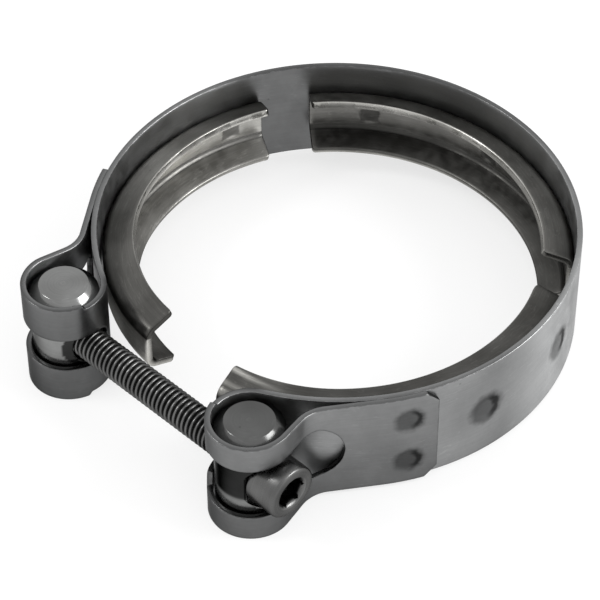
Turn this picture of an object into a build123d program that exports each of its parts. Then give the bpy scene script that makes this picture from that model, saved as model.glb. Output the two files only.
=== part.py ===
from build123d import *
import math
import os

# V-section pipe clamp: a folded strap, three retainers inside it, two barrel trunnions and a cap screw.
# The origin is the centre of the ring on its middle plane, +Z is the ring's axis, the screw lies
# along X on the -Y side, and angles about the ring are counted from -Y towards +X.
os.makedirs("parts", exist_ok=True)

# strap: one sheet, rolled to a ring, wrapped round both trunnions and folded back on itself
band_radius = 42.5
band_width = 20.2
strap_thick = 1.0
loop_flare = 0.7
leave_angle = 29.0
inner_run = 1.5
flank_run = 4.4
bend_radius = 6.5
seat_angle = 54.0
leaf_end_angle = 66.8
leaf_bite = 0.05
leaf_chamfer = 2.2
step_setback = 1.6
step_radius = 0.5
shank_slot_width = 7.0
head_slot_width = 11.2
head_slot_start = 40.0
slot_reach = 3.0

# spot welds
weld_diameter = 5.0
weld_depth = 0.12
leaf_weld_angle = 60.1
leaf_weld_height = 4.8
side_weld_angles = (80.0, 107.0)
middle_weld_angles = (145.0, 180.0, 215.0)

# retainers: pressed V-section segments
retainer_thick = 1.3
retainer_depth = 5.8
retainer_gap_angle = 13.0
retainer_mouth_angle = 27.5
fold_setback = 1.25
groove_mouth_width = 9.85
flange_angle = 20.0
retainer_corner = 1.4

# trunnions
trunnion_radius = 6.0
trunnion_end_gap = 0.5
trunnion_face_radius = 4.2
trunnion_play = 0.3
thread_countersink = 1.1
shank_clearance = 0.3
seat_depth = 1.0
seat_side_room = 0.5

# cap screw
thread_diameter = 6.0
thread_running_clearance = 0.05
screw_length = 50.0
screw_tip_chamfer = 0.8
head_diameter = 10.0
head_height = 6.0
head_rim = 0.45
head_seat_gap = 0.05
hex_across_flats = 5.0
hex_depth = 3.0
hex_lip = 0.18
hex_drill_depth = 0.8
drill_half_angle = 60.0
countersink_half_angle = 45.0

# sizes worked out from the ones above
half_thick = strap_thick / 2
band_middle = band_radius - half_thick
band_inside = band_radius - strap_thick
groove_mouth_radius = band_inside - retainer_depth
loop_width = band_width + 2 * loop_flare
trunnion_length = loop_width - 2 * trunnion_end_gap
wrap_middle = trunnion_radius + trunnion_play + half_thick
leaf_middle = band_radius + half_thick - leaf_bite
thread_radius = thread_diameter / 2
head_radius = head_diameter / 2
cut_room = 1.0


def ring_direction(angle):
    """Unit vector from the ring's centre towards an angle counted from -Y."""
    turn = math.radians(angle)
    return Vector(math.sin(turn), -math.cos(turn))


def ring_tangent(angle):
    """Unit vector along the ring, in the sense in which the angle grows."""
    turn = math.radians(angle)
    return Vector(math.cos(turn), math.sin(turn))


# the strap leaves the ring in a straight run, which is tangent to the wrap round the trunnion
run_start = ring_direction(leave_angle) * band_middle
run_end = run_start - ring_tangent(leave_angle) * inner_run
trunnion_centre = run_end + ring_direction(leave_angle) * wrap_middle

# the wrap turns back through a straight flank and a reverse bend into the outer leaf, which lies
# against the ring
leaf_out = ring_direction(seat_angle)
leaf_along = ring_tangent(seat_angle)
bend_lift = leaf_middle + bend_radius - trunnion_centre.dot(leaf_out)
bend_reach = math.sqrt((wrap_middle + bend_radius) ** 2 + flank_run**2 - bend_lift**2)
bend_centre = leaf_out * (leaf_middle + bend_radius)
bend_centre += leaf_along * (trunnion_centre.dot(leaf_along) + bend_reach)
to_bend = bend_centre - trunnion_centre
flank_swing = math.degrees(math.atan2(flank_run, wrap_middle + bend_radius))
wrap_end_angle = math.degrees(math.atan2(to_bend.Y, to_bend.X)) - flank_swing
wrap_turn = wrap_end_angle + 270 - leave_angle
bend_turn = wrap_end_angle + 90 - seat_angle
leaf_start = bend_centre - leaf_out * bend_radius
leaf_seat = leaf_out * leaf_middle


def strap_slot(width, first_angle):
    """Cutter for a slot round the wrap, from an angle about the trunnion to its round end in the leaf."""
    setback = width / 2 - slot_reach
    with BuildPart() as cutter:
        with BuildSketch():
            with BuildLine():
                sweep_turn = wrap_end_angle + 360 - first_angle
                wrap = CenterArc(trunnion_centre, wrap_middle, first_angle, sweep_turn)
                flank = Line(wrap @ 1, wrap @ 1 + (wrap % 1) * flank_run)
                end_turn = bend_turn - math.degrees(math.asin(setback / bend_radius))
                JernArc(flank @ 1, flank % 1, bend_radius, -end_turn)
            trace(line_width=strap_thick + cut_room)
        extrude(amount=width / 2, both=True)
        round_centre = leaf_start - leaf_along * setback - leaf_out * (half_thick + cut_room / 2)
        with BuildSketch(Plane(round_centre, x_dir=leaf_along, z_dir=leaf_out)):
            Circle(width / 2)
        extrude(amount=strap_thick + 2 * cut_room)
    return cutter.part


def strap_end(slot_width):
    """One end of the strap: the slotted wrap, the reverse bend and the outer leaf."""
    with BuildPart() as end:
        with BuildSketch():
            with BuildLine():
                wrap = JernArc(run_end, -ring_tangent(leave_angle), wrap_middle, wrap_turn)
                flank = Line(wrap @ 1, wrap @ 1 + (wrap % 1) * flank_run)
                bend = JernArc(flank @ 1, flank % 1, bend_radius, -bend_turn)
                Line(bend @ 1, leaf_seat)
                JernArc(leaf_seat, leaf_along, leaf_middle, leaf_end_angle - seat_angle)
            trace(line_width=strap_thick)
        extrude(amount=loop_width / 2, both=True)

        # the sheet steps down to the ring's width on the gap side and tapers to it at the bend
        edge_height = band_width / 2
        with BuildSketch(Plane.YZ):
            with BuildLine():
                Polyline(
                    (trunnion_centre.Y, loop_width / 2),
                    (leaf_start.Y, edge_height),
                    (band_radius, edge_height),
                    (band_radius, loop_width),
                    (trunnion_centre.Y, loop_width),
                    close=True,
                )
            make_face()
            mirror(about=Plane.XZ)
        extrude(amount=2 * band_radius, mode=Mode.SUBTRACT)
        with BuildSketch(Plane.YZ):
            with Locations((trunnion_centre.Y - step_setback, edge_height)):
                step = Rectangle(band_radius, loop_width, align=Align.MIN)
            fillet(step.vertices().group_by(Axis.Y)[0].sort_by(Axis.X)[0], step_radius)
            mirror(about=Plane.XZ)
        extrude(amount=trunnion_centre.X, mode=Mode.SUBTRACT)

        # the leaf's corners are cut off
        leaf_end = ring_direction(leaf_end_angle) * leaf_middle
        chamfer(leaf_corner_edges(end.part, leaf_end), leaf_chamfer)

        # the slot is as wide as the screw's head or shank, and narrows to the shank on the gap side
        add(strap_slot(slot_width, 180 + head_slot_start), mode=Mode.SUBTRACT)
        add(strap_slot(shank_slot_width, 180), mode=Mode.SUBTRACT)
        with BuildSketch(Plane.YZ):
            with Locations((trunnion_centre.Y, 0)):
                Circle(shank_slot_width / 2)
        extrude(amount=trunnion_centre.X, mode=Mode.SUBTRACT)
    return end.part


def leaf_corner_edges(part, leaf_end):
    """The two short edges at the end of the outer leaf, one at each side of the sheet."""
    return [
        edge
        for edge in part.edges().filter_by(GeomType.LINE)
        if abs(edge.length - strap_thick) < half_thick
        and Vector(edge.center().X - leaf_end.X, edge.center().Y - leaf_end.Y).length < half_thick / 2
        and abs(edge.center().Z) > band_width / 4
    ]


def weld_print(angle, surface_radius, height=0.0):
    """Cutter for the shallow round print that a spot weld leaves on the outside of the strap."""
    outward = ring_direction(angle)
    face_point = outward * (surface_radius - weld_depth)
    origin = Vector(face_point.X, face_point.Y, height)
    with BuildPart() as cutter:
        with BuildSketch(Plane(origin, x_dir=(0, 0, 1), z_dir=outward)):
            Circle(weld_diameter / 2)
        extrude(amount=cut_room)
    return cutter.part


# the ring and its two straight runs
with BuildPart() as strap:
    with BuildSketch():
        with BuildLine() as ring_path:
            ring_turn = 360 - 2 * leave_angle
            CenterArc((0, 0), band_middle, leave_angle - 90, ring_turn)
            Line(run_start, run_end)
            mirror(ring_path.edges().filter_by(GeomType.LINE), about=Plane.YZ)
        trace(line_width=strap_thick)
    extrude(amount=band_width / 2, both=True)
    add(strap_end(head_slot_width))
    add(mirror(strap_end(shank_slot_width), about=Plane.YZ, mode=Mode.PRIVATE))
    leaf_face_radius = leaf_middle + half_thick
    for side in (-1, 1):
        for height in (-leaf_weld_height, leaf_weld_height):
            add(weld_print(side * leaf_weld_angle, leaf_face_radius, height), mode=Mode.SUBTRACT)
        for angle in side_weld_angles:
            add(weld_print(side * angle, band_radius), mode=Mode.SUBTRACT)
    for angle in middle_weld_angles:
        add(weld_print(angle, band_radius), mode=Mode.SUBTRACT)
strap.part.label = "strap"
export_step(strap.part, "parts/strap.step")


def retainer(first_angle, last_angle):
    """One V-section segment: a land on the ring and two legs that lean out, each bent up in two folds."""
    lean = math.tan(math.radians(flange_angle))
    mouth_middle = groove_mouth_width / 2 + retainer_thick / 2 / math.cos(math.radians(flange_angle))
    land_middle = band_inside - retainer_thick / 2
    root = mouth_middle - lean * (land_middle - groove_mouth_radius)
    tip_radius = groove_mouth_radius - cut_room
    tip = mouth_middle + lean * cut_room
    fold_rise = lean * fold_setback
    end_plane = Plane((0, 0, 0), x_dir=ring_direction(first_angle), z_dir=-ring_tangent(first_angle))
    with BuildPart() as segment:
        with BuildSketch(end_plane):
            with BuildLine():
                Polyline(
                    (tip_radius, -tip),
                    (land_middle - fold_setback, -root - fold_rise),
                    (land_middle, fold_setback - root),
                    (land_middle, root - fold_setback),
                    (land_middle - fold_setback, root + fold_rise),
                    (tip_radius, tip),
                )
            trace(line_width=retainer_thick)
            with Locations((groove_mouth_radius, 0)):
                Rectangle(band_radius, 2 * band_radius, align=(Align.MAX, Align.CENTER), mode=Mode.SUBTRACT)
        revolve(axis=Axis.Z, revolution_arc=last_angle - first_angle)

        # the corners of the legs are rounded at both ends of the segment
        end_edges = segment.edges().filter_by(GeomType.LINE)
        tip_edges = end_edges.filter_by(
            lambda edge: math.hypot(edge.center().X, edge.center().Y) < groove_mouth_radius + half_thick
        )
        fillet(tip_edges, retainer_corner)
    return segment.part


# the free ends of the outer two segments stand either side of the gap
side_span = (360 - retainer_mouth_angle - 2 * retainer_gap_angle) / 3
right_start = retainer_mouth_angle / 2
right_end = right_start + side_span
middle_end = right_end + retainer_gap_angle + side_span

with BuildPart() as right_retainer:
    add(retainer(right_start, right_end))
right_retainer.part.label = "right_retainer"
export_step(right_retainer.part, "parts/right_retainer.step")

with BuildPart() as left_retainer:
    add(mirror(right_retainer.part, about=Plane.YZ, mode=Mode.PRIVATE))
left_retainer.part.label = "left_retainer"
export_step(left_retainer.part, "parts/left_retainer.step")

with BuildPart() as middle_retainer:
    add(retainer(right_end + retainer_gap_angle, middle_end))
middle_retainer.part.label = "middle_retainer"
export_step(middle_retainer.part, "parts/middle_retainer.step")

# the barrel trunnions lie in the wraps, parallel to the ring's axis
left_centre = Vector(-trunnion_centre.X, trunnion_centre.Y)
seat_x = trunnion_centre.X + trunnion_radius - seat_depth
face_chamfer = trunnion_radius - trunnion_face_radius

with BuildPart() as plain_trunnion:
    with BuildSketch(Plane(trunnion_centre)):
        Circle(trunnion_radius)
    extrude(amount=trunnion_length / 2, both=True)
    chamfer(plain_trunnion.edges().filter_by(GeomType.CIRCLE), face_chamfer)
    with BuildSketch(Plane((0, trunnion_centre.Y, 0), x_dir=(0, 1, 0), z_dir=(1, 0, 0))):
        Circle(thread_radius + shank_clearance)
    extrude(amount=2 * trunnion_centre.X, mode=Mode.SUBTRACT)
    with BuildSketch(Plane((seat_x, trunnion_centre.Y, 0), x_dir=(0, 1, 0), z_dir=(1, 0, 0))):
        Circle(head_radius + seat_side_room)
    extrude(amount=trunnion_radius, mode=Mode.SUBTRACT)
plain_trunnion.part.label = "plain_trunnion"
export_step(plain_trunnion.part, "parts/plain_trunnion.step")

with BuildPart() as threaded_trunnion:
    with BuildSketch(Plane(left_centre)):
        Circle(trunnion_radius)
    extrude(amount=trunnion_length / 2, both=True)
    chamfer(threaded_trunnion.edges().filter_by(GeomType.CIRCLE), face_chamfer)
    with BuildSketch(Plane((0, left_centre.Y, 0), x_dir=(0, 1, 0), z_dir=(-1, 0, 0))):
        Circle(thread_radius + thread_running_clearance)
    extrude(amount=2 * trunnion_centre.X, mode=Mode.SUBTRACT)
    for facing in (-1, 1):
        mouth = left_centre + Vector(facing * trunnion_radius, 0)
        with BuildSketch(Plane(mouth, x_dir=(0, 1, 0), z_dir=(-facing, 0, 0))):
            Circle(thread_radius + thread_countersink)
        extrude(amount=thread_countersink, taper=countersink_half_angle, mode=Mode.SUBTRACT)
threaded_trunnion.part.label = "threaded_trunnion"
export_step(threaded_trunnion.part, "parts/threaded_trunnion.step")

# the cap screw seats on the flat of the plain trunnion and screws into the other one
screw_axis = Plane((seat_x + head_seat_gap, trunnion_centre.Y, 0), x_dir=(0, 1, 0), z_dir=(1, 0, 0))
with BuildPart() as cap_screw:
    with BuildSketch(screw_axis):
        Circle(thread_radius)
    extrude(amount=-screw_length)
    chamfer(cap_screw.faces().sort_by(Axis.X)[0].edges(), screw_tip_chamfer)
    with BuildSketch(screw_axis):
        Circle(head_radius)
    extrude(amount=head_height)
    head_face = cap_screw.faces().sort_by(Axis.X)[-1]
    chamfer(head_face.edges(), head_rim)
    socket_mouth = screw_axis.offset(head_height)
    with BuildSketch(socket_mouth):
        RegularPolygon(hex_across_flats / 2, side_count=6, major_radius=False)
    extrude(amount=-hex_depth, mode=Mode.SUBTRACT)
    lip_radius = hex_across_flats / math.sqrt(3) + hex_lip
    lip_depth = lip_radius - hex_across_flats / 2
    with BuildSketch(socket_mouth):
        Circle(lip_radius)
    extrude(amount=-lip_depth, taper=countersink_half_angle, mode=Mode.SUBTRACT)
    with BuildSketch(socket_mouth.offset(-hex_depth)):
        Circle(hex_across_flats / 2)
    extrude(amount=-hex_drill_depth, taper=drill_half_angle, mode=Mode.SUBTRACT)
cap_screw.part.label = "cap_screw"
export_step(cap_screw.part, "parts/cap_screw.step")

retainers = (right_retainer, left_retainer, middle_retainer)
for piece in (strap, *retainers, plain_trunnion, threaded_trunnion, cap_screw):
    print(piece.part.label, piece.part.is_valid, len(piece.solids()), round(piece.part.volume, 1))
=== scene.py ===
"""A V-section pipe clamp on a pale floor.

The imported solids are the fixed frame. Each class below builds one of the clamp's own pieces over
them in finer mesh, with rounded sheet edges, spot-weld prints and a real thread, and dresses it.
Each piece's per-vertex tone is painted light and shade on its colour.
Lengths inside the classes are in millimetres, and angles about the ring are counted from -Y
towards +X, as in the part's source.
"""

import logging
import math
from dataclasses import dataclass, field
from enum import Enum
from typing import Callable, Sequence

import bmesh
import bpy
import numpy as np
from mathutils import Matrix, Vector


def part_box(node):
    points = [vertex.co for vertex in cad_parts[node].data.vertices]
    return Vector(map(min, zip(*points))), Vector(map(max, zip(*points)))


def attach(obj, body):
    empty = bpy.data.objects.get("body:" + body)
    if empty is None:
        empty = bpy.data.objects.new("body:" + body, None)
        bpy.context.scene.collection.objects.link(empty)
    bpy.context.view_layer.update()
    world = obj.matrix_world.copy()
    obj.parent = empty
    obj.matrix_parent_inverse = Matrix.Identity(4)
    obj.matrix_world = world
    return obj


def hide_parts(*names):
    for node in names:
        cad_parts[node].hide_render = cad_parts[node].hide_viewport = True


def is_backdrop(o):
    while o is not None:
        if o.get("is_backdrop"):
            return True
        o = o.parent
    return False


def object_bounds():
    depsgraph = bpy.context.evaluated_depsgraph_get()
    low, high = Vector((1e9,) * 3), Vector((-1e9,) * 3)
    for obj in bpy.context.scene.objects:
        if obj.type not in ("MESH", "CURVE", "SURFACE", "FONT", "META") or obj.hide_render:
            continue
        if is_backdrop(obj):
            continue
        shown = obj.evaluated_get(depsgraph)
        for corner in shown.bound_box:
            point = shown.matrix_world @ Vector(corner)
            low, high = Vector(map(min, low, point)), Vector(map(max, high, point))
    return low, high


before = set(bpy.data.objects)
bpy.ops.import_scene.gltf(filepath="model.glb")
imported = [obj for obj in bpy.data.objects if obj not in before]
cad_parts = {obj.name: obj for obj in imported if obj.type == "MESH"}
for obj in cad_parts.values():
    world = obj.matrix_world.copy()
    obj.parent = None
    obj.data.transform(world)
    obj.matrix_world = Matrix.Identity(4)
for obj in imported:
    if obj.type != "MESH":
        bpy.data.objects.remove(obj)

MM = 0.001
FAR_MM = 99.0
MERGE_M = 1e-7
Faces = list[tuple[int, ...]]
log = logging.getLogger("clamp")


class Side(Enum):
    """The two ends of the strap, by the sign of their X."""

    LEFT = -1
    RIGHT = 1


class Body(Enum):
    """The bodies of the part that pieces ride on."""

    CLAMP = "clamp"
    SCREW = "screw"


class Slot(Enum):
    """The material slots of the part."""

    STRAP = "strap_steel"
    RETAINER = "retainer_steel"
    TRUNNION = "trunnion_steel"
    SCREW = "screw_steel"


def ring_direction(angle: float) -> np.ndarray:
    """Unit vector from the ring's centre towards an angle in degrees."""
    return np.array([math.sin(math.radians(angle)), -math.cos(math.radians(angle))])


def ring_tangent(angle: float) -> np.ndarray:
    """Unit vector along the ring, in the sense in which the angle grows."""
    return np.array([math.cos(math.radians(angle)), math.sin(math.radians(angle))])


def smooth(value: float, low: float, high: float) -> float:
    """Smooth step from 0 at low to 1 at high."""
    t = min(max((value - low) / (high - low), 0.0), 1.0)
    return t * t * (3 - 2 * t)


def spaced(first: float, last: float, step: float) -> list[float]:
    """Values from first to last, both included, at most a step apart.

    Args:
        first: First value.
        last: Last value.
        step: Largest distance between neighbours.

    Returns:
        The values in order.
    """
    count = max(1, math.ceil(abs(last - first) / step))
    return [first + (last - first) * i / count for i in range(count + 1)]


def graded(
    first: float, last: float, coarse: float, fine: float, focus: list[float], reach: float
) -> list[float]:
    """Values that lie closer together near some places.

    Args:
        first: First value.
        last: Last value.
        coarse: Step away from the places.
        fine: Step near them.
        focus: The places.
        reach: How far round each place the fine step is kept.

    Returns:
        The values in order, with first and last among them.
    """
    values = [first]
    while values[-1] < last - fine / 2:
        here = values[-1]
        nearest = min((abs(here - place) for place in focus), default=FAR_MM)
        upcoming = [place - reach for place in focus if place - reach > here]
        step = fine if nearest <= reach else coarse
        if nearest > reach and upcoming and here + step > min(upcoming):
            step = max(min(upcoming) - here, fine)
        values.append(min(here + step, last))
    values[-1] = last
    return values


@dataclass
class MeshData:
    """Vertices in millimetres, faces, and per-vertex values that the finishes read; the tone among them is
    painted light and shade.
    """

    vertices: np.ndarray
    faces: Faces
    sheet: np.ndarray
    edge: np.ndarray
    weld: np.ndarray
    tone: np.ndarray

    @classmethod
    def of_grids(cls, grids: Sequence[np.ndarray], filled: Callable[[int, int], bool]) -> "MeshData":
        """Makes a sheet from the grids over its two sides.

        Args:
            grids: The five grids, in the order of empty_grids.
            filled: Tells whether the cell at a row and column is solid.

        Returns:
            The mesh data, without the places that no face uses.
        """
        numbers = np.arange(grids[0][..., 0].size).reshape(grids[0].shape[:3])
        faces = closed_sheet(numbers[0], numbers[1], filled)
        used = np.unique([v for f in faces for v in f])
        renumber = {int(old): new for new, old in enumerate(used)}
        points, sheet, edge, weld, tone = (grid.reshape(numbers.size, -1)[used] for grid in grids)
        kept = [tuple(renumber[v] for v in f) for f in faces]
        return cls(points, kept, sheet, edge[:, 0], weld, tone[:, 0])

    @classmethod
    def plain(
        cls, vertices: Sequence, faces: Faces, sheet: Sequence, edge: object = FAR_MM, tone: object = 1.0
    ) -> "MeshData":
        """Makes a piece without welds; its edge distance and tone are one value, or one for each vertex."""
        count = len(vertices)
        near, shade = (np.broadcast_to(np.array(values, float), count) for values in (edge, tone))
        weld = np.full((count, 3), FAR_MM)
        return cls(np.array(vertices, float), faces, np.array(sheet, float), near, weld, shade)

    def build(self, name: str) -> bpy.types.Object:
        """Turns the data into an object.

        Args:
            name: The object's name.

        Returns:
            The new object, linked to the scene.
        """
        mesh = bpy.data.meshes.new(name)
        mesh.from_pydata((self.vertices * MM).tolist(), [], self.faces)
        layers = {"sheet_mm": self.sheet, "edge_mm": self.edge, "weld_mm": self.weld, "tone": self.tone}
        for label, values in layers.items():
            kind, member = ("FLOAT", "value") if values.ndim == 1 else ("FLOAT_VECTOR", "vector")
            layer = mesh.attributes.new(label, kind, "POINT")
            layer.data.foreach_set(member, values.ravel().astype(np.float32))
        work = bmesh.new()
        work.from_mesh(mesh)
        bmesh.ops.remove_doubles(work, verts=work.verts, dist=MERGE_M)
        bmesh.ops.recalc_face_normals(work, faces=work.faces)
        work.to_mesh(mesh)
        work.free()
        mesh.shade_smooth()
        piece = bpy.data.objects.new(name, mesh)
        bpy.context.scene.collection.objects.link(piece)
        return piece


def empty_grids(rows: int, columns: int) -> list[np.ndarray]:
    """Grids for a sheet's two sides: points, pattern places, edge distances, weld ways and tones of painted
    light and shade.
    """
    return [np.zeros((2, rows, columns, *size)) for size in ((3,), (3,), (), (3,), ())]


def closed_sheet(outer: np.ndarray, inner: np.ndarray, filled: Callable[[int, int], bool]) -> Faces:
    """Faces of a sheet whose two sides are grids, with walls wherever the grid ends.

    Args:
        outer: Vertex numbers of the outer side, rows by columns.
        inner: Vertex numbers of the inner side, rows by columns.
        filled: Tells whether the cell at a row and column is solid.

    Returns:
        The faces of both sides and of the walls.
    """
    faces: Faces = []
    rim: dict[tuple[int, int], tuple[int, int]] = {}
    rows, columns = outer.shape
    for i in range(rows - 1):
        for j in range(columns - 1):
            if not filled(i, j):
                continue
            corners = ((i, j), (i, j + 1), (i + 1, j + 1), (i + 1, j))
            faces.append(tuple(int(outer[c]) for c in corners))
            faces.append(tuple(int(inner[c]) for c in reversed(corners)))
            for a, b in zip(corners, corners[1:] + corners[:1]):
                start, end = int(outer[a]), int(outer[b])
                if rim.pop((end, start), None) is None:
                    rim[(start, end)] = (int(inner[a]), int(inner[b]))
    for (start, end), (below_start, below_end) in rim.items():
        faces.append((end, start, below_start, below_end))
    return faces


def rim_steps(radius: float) -> tuple[float, ...]:
    """Distances from a cut edge at which the mesh has a line, for a rounding of that radius."""
    return 0.0, 0.3 * radius, radius


def rim_drop(gap: float, radius: float) -> float:
    """How far a rounded cut edge lies below the sheet's face, at a distance from it."""
    into = min(max(radius - gap, 0.0), radius)
    return radius - math.sqrt(radius**2 - into**2)


def rimmed(low: float, high: float, count: int, radius: float) -> np.ndarray:
    """Values from low to high with extra ones beside both, where the cut edges are rounded.

    Args:
        low: First value.
        high: Last value.
        count: Number of steps.
        radius: Radius of the rounding.

    Returns:
        The values in order, one more than the steps.
    """
    steps = np.array(rim_steps(radius)[:2])
    middle = np.linspace(low + radius, high - radius, count - 3)
    return np.concatenate([low + steps, middle, high - steps[::-1]])


def even_normals(piece: bpy.types.Object) -> None:
    """Lets the large faces of a piece set its shading."""
    normals = piece.modifiers.new("normals", "WEIGHTED_NORMAL")
    normals.keep_sharp = False
    normals.weight = 80


def soften(piece: bpy.types.Object, width: float, angle: float) -> None:
    """Rounds a piece's sharp edges and evens out its shading.

    Args:
        piece: The object.
        width: Width of the rounding in millimetres.
        angle: Edges sharper than this, in degrees, are rounded.
    """
    bevel = piece.modifiers.new("edges", "BEVEL")
    bevel.width = width * MM
    bevel.segments = 2
    bevel.limit_method = "ANGLE"
    bevel.angle_limit = math.radians(angle)
    bevel.use_clamp_overlap = False
    bevel.miter_outer = "MITER_ARC"
    even_normals(piece)


def settle(piece: bpy.types.Object, node: str, body: Body, material: bpy.types.Material) -> None:
    """Gives a piece its finish and body, and hides the solid that it stands for.

    Args:
        piece: The finished object.
        node: The CAD node that it stands for.
        body: The body that it rides on.
        material: The finish.
    """
    piece.data.materials.clear()
    piece.data.materials.append(material)
    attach(piece, body.value)
    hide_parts(node)
    log.info("%s: %d faces, on %s", piece.name, len(piece.data.polygons), body.value)


class Graph:
    """Adds and joins the nodes of one shader tree."""

    def __init__(self, tree: bpy.types.NodeTree) -> None:
        """Keeps the tree and empties it."""
        self.tree = tree
        self.tree.nodes.clear()

    def add(
        self, kind: str, inputs: dict[str | int, object] | None = None, **settings: object
    ) -> bpy.types.Node:
        """Adds a node.

        Args:
            kind: Blender's name for the node.
            inputs: Values or sockets for the node's inputs, by name or number.
            settings: The node's own properties.

        Returns:
            The node.
        """
        node = self.tree.nodes.new(kind)
        for name, value in settings.items():
            setattr(node, name, value)
        for key, value in (inputs or {}).items():
            if isinstance(value, bpy.types.NodeSocket):
                self.tree.links.new(value, node.inputs[key])
            else:
                node.inputs[key].default_value = value
        return node

    def sum(self, operation: str, *terms: object) -> bpy.types.NodeSocket:
        """Result of a Math node on values or sockets."""
        return self.add("ShaderNodeMath", dict(enumerate(terms)), operation=operation).outputs[0]

    def ramp(
        self, value: object, low: object, high: object, start: float = 0.0, end: float = 1.0
    ) -> bpy.types.NodeSocket:
        """Smooth clamped map of a value from low..high to start..end."""
        inputs = {"Value": value, "From Min": low, "From Max": high, "To Min": start, "To Max": end}
        return self.add("ShaderNodeMapRange", inputs, interpolation_type="SMOOTHSTEP").outputs["Result"]

    def blend(self, mask: object, first: object, second: object) -> bpy.types.NodeSocket:
        """Mix of two colours by a mask."""
        return self.add("ShaderNodeMix", {0: mask, 6: first, 7: second}, data_type="RGBA").outputs[2]

    def scaled(self, vector: object, factors: object) -> bpy.types.NodeSocket:
        """A vector times another, axis by axis."""
        return self.add("ShaderNodeVectorMath", {0: vector, 1: factors}, operation="MULTIPLY").outputs[0]

    def shaded(self, colour: object, factor: float) -> bpy.types.NodeSocket:
        """A colour times one number."""
        return self.scaled(colour, (factor,) * 3)

    def noise(self, vector: object, scale: object, detail: float, rough: float = 0.5) -> bpy.types.NodeSocket:
        """Value of a noise texture."""
        inputs = {"Vector": vector, "Scale": scale, "Detail": detail, "Roughness": rough}
        return self.add("ShaderNodeTexNoise", inputs).outputs["Fac"]

    def group(self, tree: bpy.types.NodeTree, **inputs: object) -> bpy.types.bpy_prop_collection:
        """Places a node group and gives its outputs."""
        return self.add("ShaderNodeGroup", inputs, node_tree=tree).outputs

    def close(self, **outputs: object) -> bpy.types.NodeTree:
        """Joins a node group's outputs and gives its tree."""
        self.add("NodeGroupOutput", outputs)
        return self.tree


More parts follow.
